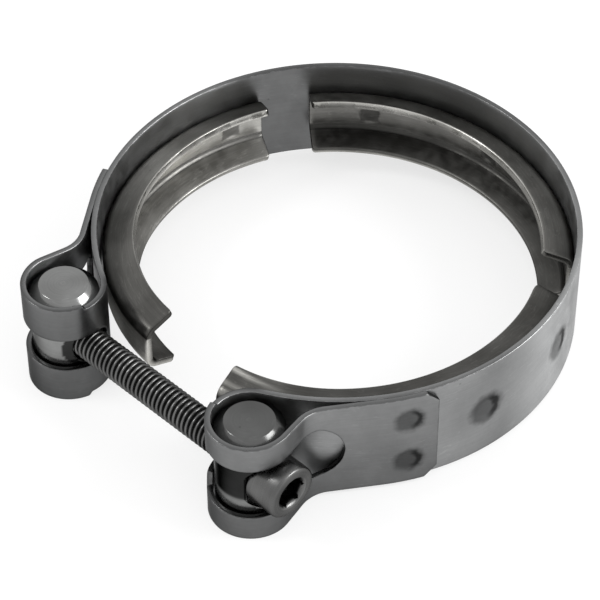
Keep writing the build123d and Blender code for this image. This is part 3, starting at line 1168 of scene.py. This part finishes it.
    def rim_gap(self, to_tip: float, to_end: float) -> float:
        """Distance of a place from the nearest cut edge, round the corner where a tip meets an end.

        Args:
            to_tip: Distance from the nearer tip of the section.
            to_end: Distance from the nearer end of the segment.

        Returns:
            The distance, 0 on the edge.
        """
        gap = min(to_tip, to_end)
        if to_tip < self.corner and to_end < self.corner:
            gap = self.corner - math.hypot(self.corner - to_tip, self.corner - to_end)
        return max(gap, 0.0)

    def dent(self, run: float, away: float, radius: float) -> tuple[float, tuple[float, float, float]]:
        """Depth of the weld prints at a place, and the way to it from the nearest weld.

        Args:
            run: Angle along the segment.
            away: Distance across the section from its middle.
            radius: Radius of the place about the ring's axis.

        Returns:
            How far the surface is pushed in, and the way from the nearest weld.
        """
        ways = [(math.radians(run - w) * radius, away) for w in self.welds]
        gaps = [math.hypot(*way) for way in ways]
        from_radius = self.weld_radius - self.weld_blend
        push = sum(self.weld_depth * (1 - smooth(gap, from_radius, self.weld_radius)) for gap in gaps)
        if min(gaps) < self.mark_reach * self.weld_radius:
            return push, (*ways[int(np.argmin(gaps))], 0.0)
        return push, (0.0, 0.0, FAR_MM)

    def build(self, material: bpy.types.Material) -> bpy.types.Object:
        """Builds and dresses the segment.

        Args:
            material: The retainer's finish.

        Returns:
            The object.
        """
        line, stations, angles = self.section(), self.stations(), self.angles()
        _, leg_end, land_from, _, _, total = line.marks()
        span, side = self.last_angle - self.first_angle, self.side.value
        grids = empty_grids(len(angles), len(stations))
        points, sheet, edge, weld, tone = grids
        for j, q in enumerate(stations):
            (radius, height), left = line.at(q)
            to_tip = min(q, total - q)
            short = max(0.0, self.corner - to_tip)
            trim = math.degrees((self.corner - math.sqrt(self.corner**2 - short**2)) / radius)
            for i, angle in enumerate(angles):
                turned = self.first_angle + trim + (angle - self.first_angle) / span * (span - 2 * trim)
                to_end = math.radians(min(turned - self.first_angle, self.last_angle - turned)) * radius
                gap = self.rim_gap(to_tip, to_end)
                push, nearest = self.dent(turned, q - total / 2, radius)
                for k, face in enumerate((-1, 1)):
                    drop = rim_drop(gap, self.edge_round)
                    offset = face * (self.thickness / 2 - drop - (push if k else 0.0))
                    place = self.spot(turned, radius + left[0] * offset)
                    points[k, i, j] = (side * place[0], place[1], height + left[1] * offset)
                    sheet[k, i, j] = (side * math.radians(turned) * radius, q, k)
                    edge[k, i, j] = gap
                    weld[k, i, j] = nearest if k else (0.0, 0.0, FAR_MM)
                    tone[k, i, j] = self.tone(turned, height, k > 0)
                    # Painted shade inside the lower fold, and a painted highlight on the upper tip's cut
                    # edge.
                    if k and leg_end < q < land_from:
                        tone[k, i, j] *= self.fold_painted_shade
                    elif total - q < self.edge_round / 2:
                        tone[k, i, j] *= self.tip_highlight
                    tone[k, i, j] *= 1 + self.streak(q, turned)
        piece = MeshData.of_grids(grids, lambda i, j: True).build(self.node + "_pressing")
        even_normals(piece)
        settle(piece, self.node, Body.CLAMP, material)
        return piece


def mirrored(ends: list[tuple[float, float]]) -> list[tuple[float, float]]:
    """The far end of a turned profile, from its near end."""
    return [(radius, -place) for radius, place in reversed(ends)]


def lathe(profile: list[tuple[float, float]], axis: str, segments: int) -> MeshData:
    """Turned solid from a profile.

    Args:
        profile: Radius and place along the axis, from one end to the other; an end on the axis is a point.
        axis: "X" or "Z".
        segments: Steps round the axis.

    Returns:
        The mesh data, round the origin.
    """
    vertices, sheet, faces, rings = [], [], [], []
    run = 0.0
    for n, (radius, place) in enumerate(profile):
        run += math.dist(profile[n], profile[n - 1]) if n else 0.0
        ring = []
        for i in range(segments if radius > 0 else 1):
            turn = 2 * math.pi * i / segments
            a, b = radius * math.cos(turn), radius * math.sin(turn)
            ring.append(len(vertices))
            vertices.append((place, a, b) if axis == "X" else (a, b, place))
            sheet.append((max(radius, 0.5) * abs(turn - math.pi), run, 0.0))
        rings.append(ring)
    for low, high in zip(rings, rings[1:]):
        for i in range(segments):
            j = (i + 1) % segments
            corners = [low[i % len(low)], low[j % len(low)], high[j % len(high)], high[i % len(high)]]
            faces.append(tuple(dict.fromkeys(corners)))
    return MeshData.plain(vertices, [f for f in faces if len(f) > 2], sheet)


@dataclass
class Trunnion:
    """A barrel trunnion with its cross bore and, at each mouth, a countersink or the screw's seat."""

    node: str
    radius: float = 6.0
    face_radius: float = 4.2
    bore: float = 3.3
    countersink: float = 0.0
    seat_radius: float = 0.0
    seat_depth: float = 2.3
    segments: int = 96
    cut_segments: int = 64
    round_angle: float = 32.0
    row_step: float = 0.4
    edge_round: float = 0.14
    # Painted light and shade: levels for the faces and barrel, a painted shadow over the barrel above the
    # shadow line, and painted shade in the bore's mouth.
    face_light_and_shade: float = 1.0
    barrel_tone: float = 1.0
    shadow_tone: float = 1.0
    shadow_from: float = -3.0
    shadow_to: float = -2.2
    mouth_shade: float = 1.0
    mouth_reach: float = 4.7

    def tone(self, x: float, y: float, z: float, half: float) -> float:
        """Painted light and shade at a place about the trunnion's centre.

        The end faces get a level of their own, the bore's mouth painted shade, and the barrel a painted
        shadow above the shadow line.

        Args:
            x: Place along the screw.
            y: Place across it.
            z: Height.
            half: Half the trunnion's length.

        Returns:
            The factor on the finish's colour.
        """
        if abs(z) > half - (self.radius - self.face_radius) - 0.1:
            return self.face_light_and_shade
        if x > 0 and math.hypot(y, z) < self.mouth_reach and self.mouth_shade < 1:
            return self.mouth_shade
        # Share of the painted shadow, full above shadow_to.
        lit = smooth(z, self.shadow_from, self.shadow_to)
        return self.barrel_tone + (self.shadow_tone - self.barrel_tone) * lit

    def _cut(self, piece: bpy.types.Object, tool: MeshData, at: Vector) -> None:
        """Cuts a tool's shape out of a piece.

        Args:
            piece: The object to cut.
            tool: The tool's mesh data.
            at: Where the tool's origin goes, in metres.
        """
        cutter = tool.build("cutter")
        cutter.data.transform(Matrix.Translation(at))
        cut = piece.modifiers.new("cut", "BOOLEAN")
        cut.object = cutter
        cut.solver = "EXACT"
        bpy.context.view_layer.update()
        graph = bpy.context.evaluated_depsgraph_get()
        solid = bpy.data.meshes.new_from_object(piece.evaluated_get(graph))
        piece.modifiers.clear()
        piece.data = solid
        bpy.data.objects.remove(cutter)

    def build(self, material: bpy.types.Material) -> bpy.types.Object:
        """Builds and dresses the trunnion.

        Args:
            material: The trunnion's finish.

        Returns:
            The object.
        """
        low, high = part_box(self.node)
        centre, half = (low + high) / 2, (high.z - low.z) / 2 / MM
        slant = self.radius - self.face_radius
        near = [(0.0, -half), (self.face_radius * 0.5, -half), (self.face_radius, -half)]
        near.append((self.radius, slant - half))
        steps = spaced(slant - half + 0.2, half - slant - 0.2, self.row_step)
        barrel = [(self.radius, step) for step in steps]
        piece = lathe([*near, *barrel, *mirrored(near)], "Z", self.segments).build(self.node + "_turned")
        piece.data.transform(Matrix.Translation(centre))
        reach, wide = self.radius + 1, self.bore + self.countersink
        near = [(0.0, -reach), (self.bore, -reach)]
        if self.countersink:
            flare = self.countersink - self.radius
            near = [(0.0, -reach), (wide + 1, -reach), (wide, -self.radius), (self.bore, flare)]
        self._cut(piece, lathe([*near, *mirrored(near)], "X", self.cut_segments), centre)
        if self.seat_radius:
            seat = [(0.0, 0.0), (self.seat_radius, 0.0), (self.seat_radius, reach), (0.0, reach)]
            at = centre + Vector(((self.radius - self.seat_depth) * MM, 0, 0))
            self._cut(piece, lathe(seat, "X", self.cut_segments), at)
        places = [(vertex.co - centre) / MM for vertex in piece.data.vertices]
        tones = np.array([self.tone(*place, half) for place in places], np.float32)
        piece.data.attributes["tone"].data.foreach_set("value", tones)
        piece.data.shade_smooth()
        soften(piece, self.edge_round, self.round_angle)
        settle(piece, self.node, Body.CLAMP, material)
        return piece


@dataclass
class CapScrew:
    """The socket cap screw with its helical thread."""

    node: str = "cap_screw"
    pitch: float = 1.0
    major: float = 2.98
    minor: float = 2.39
    shank: float = 2.98
    solid_head: float = 6.0
    sink: float = 1.3
    head_height: float = 5.9
    head_radius: float = 4.85
    rim: float = 0.45
    tip_cut: float = 0.8
    # Painted shade in the thread's roots and down in the socket.
    root_shade: float = 0.12
    socket_shade: float = 0.15
    run_out: float = 3.0
    across_flats: float = 5.0
    socket_depth: float = 3.0
    lip: float = 0.18
    drill_depth: float = 0.8
    turn_steps: int = 36
    head_steps: int = 96
    sharp_angle: float = 50.0
    shadow_from: float = 0.2
    shadow_to: float = 1.2
    shares: tuple[float, ...] = (0.0, 0.06, 0.14, 0.22, 0.31, 0.40, 0.50, 0.60, 0.69, 0.78, 0.86, 0.94, 1.0)

    @property
    def mouth(self) -> float:
        """Radius of the socket's lead-in at the head's face."""
        return self.across_flats / math.sqrt(3) + self.lip

    def thread_radius(self, share: float) -> float:
        """Radius of the thread at a share of its pitch, with a flat crest and a rounded root."""
        away = abs(share - 0.5) * 2
        flank = smooth(away, 0.14, 0.80)
        return self.minor + (self.major - self.minor) * flank

    def head_profile(self, seat: float, turn: float) -> list[tuple[float, float]]:
        """Outline of the head in a direction, from under it over its face to the bottom of the socket.

        Args:
            seat: Place of the bearing face along X.
            turn: The direction about X, in radians.

        Returns:
            Radius and place along X of each ring.
        """
        face, wide, mouth = seat + self.head_height, self.head_radius, self.mouth
        floor, apothem, sector = face - self.socket_depth, self.across_flats / 2, math.radians(60)
        flat = apothem / math.cos((turn % sector) - sector / 2)
        return [
            (self.shank, seat - 0.6),
            (self.shank + 0.05, seat - 0.1),
            (self.shank + 0.2, seat),
            (wide - 0.25, seat),
            (wide - 0.06, seat + 0.08),
            (wide, seat + 0.3),
            (wide, seat + 2.2),
            (wide, seat + 4.0),
            (wide, face - self.rim - 0.12),
            (wide - 0.07, face - self.rim * 0.62),
            (wide - self.rim * 0.55, face - 0.08),
            (wide - self.rim - 0.1, face),
            ((wide + mouth) / 2, face),
            (mouth + 0.12, face),
            (mouth, face - 0.03),
            (flat, face - (mouth - flat)),
            (flat, face - 1.2),
            (flat, floor + 0.1),
            (flat - 0.12, floor),
            (apothem - 0.12, floor),
            (apothem * 0.5, floor - self.drill_depth * 0.6),
            (0.03, floor - self.drill_depth),
        ]

    def head(self, seat: float) -> MeshData:
        """The head with its socket, from the shank to the bottom of the drilled cone.

        Args:
            seat: Place of the bearing face along X.

        Returns:
            The mesh data round the X axis.
        """
        face, steps = seat + self.head_height, self.head_steps
        turns = [2 * math.pi * i / steps for i in range(steps)]
        profiles = [self.head_profile(seat, turn) for turn in turns]
        vertices, sheet, edge, tone, faces = [], [], [], [], []
        run = 0.0
        for n, here in enumerate(profiles[0]):
            run += math.dist(here, profiles[0][n - 1]) if n else 0.0
            for turn, profile in zip(turns, profiles):
                radius, place = profile[n]
                vertices.append((place, radius * math.cos(turn), radius * math.sin(turn)))
                sheet.append((radius * abs(turn - math.pi), run, 0.0))
                near_rim = math.dist((radius, place), (self.head_radius, face))
                near_lip = abs(radius - self.mouth) if place > face - 0.7 else FAR_MM
                edge.append(min(near_rim, near_lip))
                # Painted shade down in the socket.
                sunk = face - place if radius < self.mouth else 0.0
                tone.append(1 - (1 - self.socket_shade) * smooth(sunk, self.shadow_from, self.shadow_to))
        last = len(vertices) - steps
        for low in range(0, last, steps):
            for i in range(steps):
                j = (i + 1) % steps
                faces.append((low + i, low + j, low + steps + j, low + steps + i))
        faces.append(tuple(range(last, last + steps)))
        return MeshData.plain(vertices, faces, sheet, edge, tone)

    def thread(self, tip: float, end: float) -> MeshData:
        """The threaded shank.

        Args:
            tip: Place of the tip along X.
            end: Place where the shank meets the head.

        Returns:
            The mesh data round the X axis.
        """
        turns, run_from = math.ceil((end - tip) / self.pitch) + 2, end - self.run_out
        rows = turns * self.turn_steps
        vertices, sheet, tone = [], [], []
        for a in range(rows + 1):
            turn = 2 * math.pi * a / self.turn_steps
            base = tip - self.pitch + self.pitch * a / self.turn_steps
            for share in self.shares:
                place = base + share * self.pitch
                radius = self.thread_radius(share % 1.0)
                radius += (self.shank - radius) * smooth(place, run_from, run_from + self.pitch)
                radius = min(radius, self.major - self.tip_cut + max(place - tip, 0.0))
                place = min(max(place, tip), end)
                vertices.append((place, radius * math.cos(turn), radius * math.sin(turn)))
                sheet.append((radius * turn, share * self.pitch, 0.0))
                # Painted shade in the thread's roots, full tone on the crests.
                lit = smooth(radius, self.minor, self.major - 0.1)
                tone.append(self.root_shade + (1 - self.root_shade) * lit)
        width = len(self.shares)
        faces = [
            (a * width + j, a * width + j + 1, (a + 1) * width + j + 1, (a + 1) * width + j)
            for a in range(rows)
            for j in range(width - 1)
            if vertices[(a + 1) * width + j + 1][0] > tip and vertices[a * width + j][0] < end
        ]
        centre = len(vertices)
        vertices.append((tip, 0.0, 0.0))
        sheet.append((0.0, 0.0, 0.0))
        tone += [1.0] * (self.turn_steps + 1)
        disc = self.major - self.tip_cut
        for i in range(self.turn_steps):
            turn = 2 * math.pi * i / self.turn_steps
            vertices.append((tip, disc * math.cos(turn), disc * math.sin(turn)))
            sheet.append((disc * turn, 0.0, 0.0))
            faces.append((centre, centre + 1 + i, centre + 1 + (i + 1) % self.turn_steps))
        return MeshData.plain(vertices, faces, sheet, tone=tone)

    def build(self, material: bpy.types.Material) -> bpy.types.Object:
        """Builds and dresses the screw.

        Args:
            material: The screw's finish.

        Returns:
            The head; the thread rides on the screw's body beside it, not as the head's child.
        """
        low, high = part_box(self.node)
        axis = Matrix.Translation(Vector((0, (low.y + high.y) / 2, (low.z + high.z) / 2)))
        seat = high.x / MM - self.solid_head - self.sink
        head = self.head(seat).build("cap_screw_head")
        shank = self.thread(low.x / MM, seat - 0.3).build("cap_screw_thread")
        for piece in (head, shank):
            piece.data.transform(axis)
            piece.data.materials.append(material)
        head.data.set_sharp_from_angle(angle=math.radians(self.sharp_angle))
        settle(head, self.node, Body.SCREW, material)
        shank.parent = head
        shank.matrix_parent_inverse = Matrix.Identity(4)
        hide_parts(self.node)
        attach(shank, Body.SCREW.value)
        return head


@dataclass
class Lamp:
    """A soft rectangular lamp that looks at the clamp."""

    name: str
    place: tuple[float, float, float]
    size: float
    power: float

    def build(self, aim: Vector) -> None:
        """Adds the lamp.

        Args:
            aim: The point that it looks at.
        """
        data = bpy.data.lights.new(self.name, "AREA")
        data.shape, data.size, data.energy = "SQUARE", self.size, self.power
        lamp = bpy.data.objects.new(self.name, data)
        lamp.location = self.place
        lamp.rotation_euler = (aim - Vector(self.place)).to_track_quat("-Z", "Y").to_euler()
        bpy.context.scene.collection.objects.link(lamp)


@dataclass
class Studio:
    """The pale floor, plain soft light and the camera at the photograph's place."""

    floor_height: float
    floor_size: float = 6.0
    floor_show: float = 0.70
    floor_tone: float = 0.97
    sky_light: float = 1.0
    azimuth: float = 44.66
    elevation: float = 45.08
    roll: float = -0.23
    distance: float = 485.4
    shift_right: float = -6.409
    shift_up: float = 0.684
    band_middle: float = 10.14
    focal_px: float = 2722.5
    image_px: float = 600.0
    sensor: float = 36.0
    clip: tuple[float, float] = (0.01, 20.0)
    lamps: tuple[Lamp, ...] = (
        Lamp("right_lamp", (0.71, 0.50, 0.50), 0.50, 6.0),
        Lamp("left_lamp", (-0.50, -0.49, 0.71), 0.26, 2.2),
    )

    def _seen(self, g: Graph) -> bpy.types.NodeSocket:
        """1 for rays that show the background: from the camera, from gloss and through glass."""
        path = g.add("ShaderNodeLightPath").outputs
        gloss = g.sum("MAXIMUM", path["Is Glossy Ray"], path["Is Transmission Ray"])
        return g.sum("MAXIMUM", path["Is Camera Ray"], gloss)

    def world(self) -> None:
        """White to the camera and to gloss, and a plain soft light for the rest."""
        sky = bpy.data.worlds.new("pale_sky")
        bpy.context.scene.world = sky
        sky.use_nodes = True
        g = Graph(sky.node_tree)
        strength = g.ramp(self._seen(g), 0.0, 1.0, self.sky_light, 1.0)
        white = g.add("ShaderNodeBackground", {"Color": (1, 1, 1, 1), "Strength": strength})
        g.add("ShaderNodeOutputWorld", {"Surface": white.outputs[0]})

    def floor(self) -> None:
        """A plain pale floor that keeps the clamp's shadow."""
        half = self.floor_size / 2
        mesh = bpy.data.meshes.new("floor")
        corners = [(-half, -half), (half, -half), (half, half), (-half, half)]
        mesh.from_pydata([(x, y, self.floor_height) for x, y in corners], [], [(0, 1, 2, 3)])
        plane = bpy.data.objects.new("floor", mesh)
        bpy.context.scene.collection.objects.link(plane)
        material = bpy.data.materials.new("pale_floor")
        material.use_nodes = True
        g = Graph(material.node_tree)
        matt = g.add("ShaderNodeBsdfDiffuse", {"Color": (self.floor_tone,) * 3 + (1,)})
        paper = g.add("ShaderNodeEmission", {"Color": (1, 1, 1, 1), "Strength": 1.0})
        share = g.sum("MULTIPLY", self._seen(g), self.floor_show)
        mixed = g.add("ShaderNodeMixShader", {0: share, 1: matt.outputs[0], 2: paper.outputs[0]})
        g.add("ShaderNodeOutputMaterial", {"Surface": mixed.outputs[0]})
        mesh.materials.append(material)
        plane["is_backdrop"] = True

    def camera(self) -> None:
        """The camera at the photograph's angle, worked out from the ring's outline."""
        turn, rise, tilt = (math.radians(a) for a in (self.azimuth, self.elevation, self.roll))
        back = Vector((math.sin(turn) * math.cos(rise), -math.cos(turn) * math.cos(rise), math.sin(rise)))
        right = Vector((math.cos(turn), math.sin(turn), 0))
        up = back.cross(right)
        place = back * self.distance + right * self.shift_right + up * self.shift_up
        place.z -= self.band_middle
        level = math.cos(tilt) * right + math.sin(tilt) * up
        rising = math.cos(tilt) * up - math.sin(tilt) * right
        data = bpy.data.cameras.new("camera")
        data.sensor_width = self.sensor
        data.lens = self.focal_px / self.image_px * self.sensor
        data.clip_start, data.clip_end = self.clip
        camera = bpy.data.objects.new("camera", data)
        facing = Matrix((level, rising, back)).transposed().to_4x4()
        camera.matrix_world = Matrix.Translation(place * MM) @ facing
        bpy.context.scene.collection.objects.link(camera)
        bpy.context.scene.camera = camera

    def build(self) -> None:
        """Builds the whole studio."""
        self.world()
        self.floor()
        for lamp in self.lamps:
            lamp.build(Vector((0, 0, 0)))
        self.camera()
        bpy.context.scene.view_settings.view_transform = "Standard"


def main() -> None:
    """Builds the clamp's pieces and the studio."""
    logging.basicConfig(level=logging.INFO, format="%(name)s: %(message)s")
    cad_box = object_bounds()
    effects = Effects()
    finishes = (STRAP_STEEL, RETAINER_STEEL, TRUNNION_STEEL, SCREW_STEEL)
    strap, pressed, turned, screw = (finish.material(effects) for finish in finishes)
    side_welds, back_welds = (60.2, 80.0, 107.0), (145.0, 180.0, 215.0)
    left_spring = {"spring_angle": 70.0, "spring_shift": 5.1}
    Strap().build(strap)
    # The right retainer gets a painted sheen by its free end.
    Retainer("right_retainer", 9.1, 115.917, side_welds, free_end_sheen=0.7, streaks=1.2).build(pressed)
    Retainer("left_retainer", 5.2, 115.917, side_welds, Side.LEFT, **left_spring).build(pressed)
    Retainer("middle_retainer", 128.917, 231.083, back_welds).build(pressed)
    # Painted light levels of the two trunnions, and the plain one's painted shadow on its barrel.
    plain_tones = {"face_light_and_shade": 0.66, "barrel_tone": 1.1, "shadow_tone": 0.17}
    Trunnion("plain_trunnion", seat_radius=5.5, **plain_tones).build(turned)
    threaded_tones = {"face_light_and_shade": 1.3, "barrel_tone": 1.35, "shadow_tone": 1.35, "mouth_shade": 0.2}
    Trunnion("threaded_trunnion", bore=3.05, countersink=1.1, **threaded_tones).build(turned)
    CapScrew().build(screw)
    Studio(floor_height=cad_box[0].z).build()


if __name__ == "__main__":
    main()
